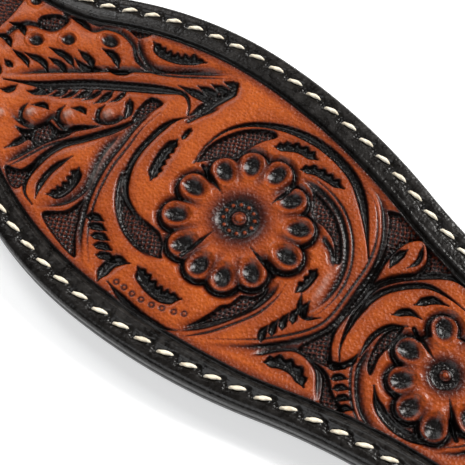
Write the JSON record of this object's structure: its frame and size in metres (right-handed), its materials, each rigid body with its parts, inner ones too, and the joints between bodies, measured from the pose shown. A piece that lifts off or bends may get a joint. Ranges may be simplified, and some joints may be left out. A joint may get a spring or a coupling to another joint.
{
  "type": "horse breast collar",
  "caption": "Scalloped western breast collar with floral tooled leather shoulders, a centre ring, buckled tugs and a leg strap with a snap.",
  "frame": {"origin": "on the surface it lies on, under the middle of its footprint", "axes": "+X across the horse from its right to its left as seen from the front, +Y up the chest from the leg strap to the tugs, +Z out of the tooled side"},
  "size_m": [1.1078, 0.9352, 0.0267],
  "materials": {
    "tooled_leather": "hand-carved floral tooling, antiqued tan with a black-dyed border",
    "lining_leather": "black-dyed leather with a burnished round edge",
    "strap_leather": "black-dyed strap leather, burnished edges",
    "thread": "waxed two-strand thread",
    "hardware": "stainless steel",
    "spring_steel": "plain"
  },
  "bodies": {
    "right_shoulder": {"right_tooled_cover": "tooled_leather", "right_edge_stitching": "thread", "right_lining": "lining_leather", "right_chest_chape": "strap_leather", "right_tug_chape": "strap_leather", "right_screws": "hardware"},
    "centre_ring": {"centre_ring": "hardware"},
    "left_shoulder": {"left_tooled_cover": "tooled_leather", "left_edge_stitching": "thread", "left_lining": "lining_leather", "left_chest_chape": "strap_leather", "left_tug_chape": "strap_leather", "left_screws": "hardware"},
    "leg_strap": {"leg_strap": "strap_leather", "leg_billet": "strap_leather", "leg_screws": "hardware", "leg_buckle": "hardware", "leg_keeper": "strap_leather"},
    "leg_tongue": {"leg_tongue": "hardware"},
    "snap_eye": {"snap_eye": "hardware"},
    "snap_hook": {"snap_hook": "hardware", "snap_spring": "spring_steel"},
    "snap_bolt": {"snap_bolt": "hardware"},
    "right_square_loop": {"right_square_loop": "hardware"},
    "right_tug": {"right_tug_strap": "strap_leather", "right_tug_buckle": "hardware", "right_tug_keeper": "strap_leather"},
    "right_tug_tongue": {"right_tug_tongue": "hardware"},
    "left_square_loop": {"left_square_loop": "hardware"},
    "left_tug": {"left_tug_strap": "strap_leather", "left_tug_buckle": "hardware", "left_tug_keeper": "strap_leather"},
    "left_tug_tongue": {"left_tug_tongue": "hardware"}
  },
  "joints": [
    {"name": "ring_turn", "type": "hinge", "parent": "right_shoulder", "child": "centre_ring", "pos_m": [0, 0.01564, 0.00874], "axis": [0, 0, 1], "range_deg": [-20, 20]},
    {"name": "left_shoulder_fold", "type": "hinge", "parent": "centre_ring", "child": "left_shoulder", "pos_m": [0.0225, 0.03386, 0.00874], "axis": [0.6293, -0.7771, 0], "range_deg": [0, 90]},
    {"name": "leg_strap_swing", "type": "hinge", "parent": "centre_ring", "child": "leg_strap", "pos_m": [0, 0.01564, 0.00874], "axis": [0, 0, 1], "range_deg": [-25, 25]},
    {"name": "leg_tongue_lift", "type": "hinge", "parent": "leg_strap", "child": "leg_tongue", "pos_m": [0, -0.18436, 0.0056], "axis": [-1, 0, 0], "range_deg": [0, 6]},
    {"name": "snap_swivel", "type": "hinge", "parent": "snap_eye", "child": "snap_hook", "pos_m": [0, -0.39476, 0.0058], "axis": [0, -1, 0], "continuous": true},
    {"name": "snap_eye_fold", "type": "hinge", "parent": "leg_strap", "child": "snap_eye", "pos_m": [0, -0.37436, 0.0058], "axis": [-1, 0, 0], "range_deg": [0, 120]},
    {"name": "snap_bolt_slide", "type": "slide", "parent": "snap_hook", "child": "snap_bolt", "axis": [0, 1, 0], "range_m": [0, 0.014], "stiffness_N_per_m": 250, "springref_m": -0.004, "deforming": ["snap_spring"]},
    {"name": "right_square_fold", "type": "hinge", "parent": "right_shoulder", "child": "right_square_loop", "pos_m": [-0.41459, 0.35137, 0.0061], "axis": [0.6293, 0.7771, 0], "range_deg": [0, 90]},
    {"name": "right_tug_fold", "type": "hinge", "parent": "right_square_loop", "child": "right_tug", "pos_m": [-0.43324, 0.36647, 0.0061], "axis": [0.6293, 0.7771, 0], "range_deg": [0, 60]},
    {"name": "right_tongue_lift", "type": "hinge", "parent": "right_tug", "child": "right_tug_tongue", "pos_m": [-0.48142, 0.40549, 0.0091], "axis": [0.6293, 0.7771, 0], "range_deg": [0, 6]},
    {"name": "left_square_fold", "type": "hinge", "parent": "left_shoulder", "child": "left_square_loop", "pos_m": [0.41459, 0.35137, 0.0061], "axis": [0.6293, -0.7771, 0], "range_deg": [0, 90]},
    {"name": "left_tug_fold", "type": "hinge", "parent": "left_square_loop", "child": "left_tug", "pos_m": [0.43324, 0.36647, 0.0061], "axis": [0.6293, -0.7771, 0], "range_deg": [0, 60]},
    {"name": "left_tongue_lift", "type": "hinge", "parent": "left_tug", "child": "left_tug_tongue", "pos_m": [0.48142, 0.40549, 0.0091], "axis": [0.6293, -0.7771, 0], "range_deg": [0, 6]}
  ]
}
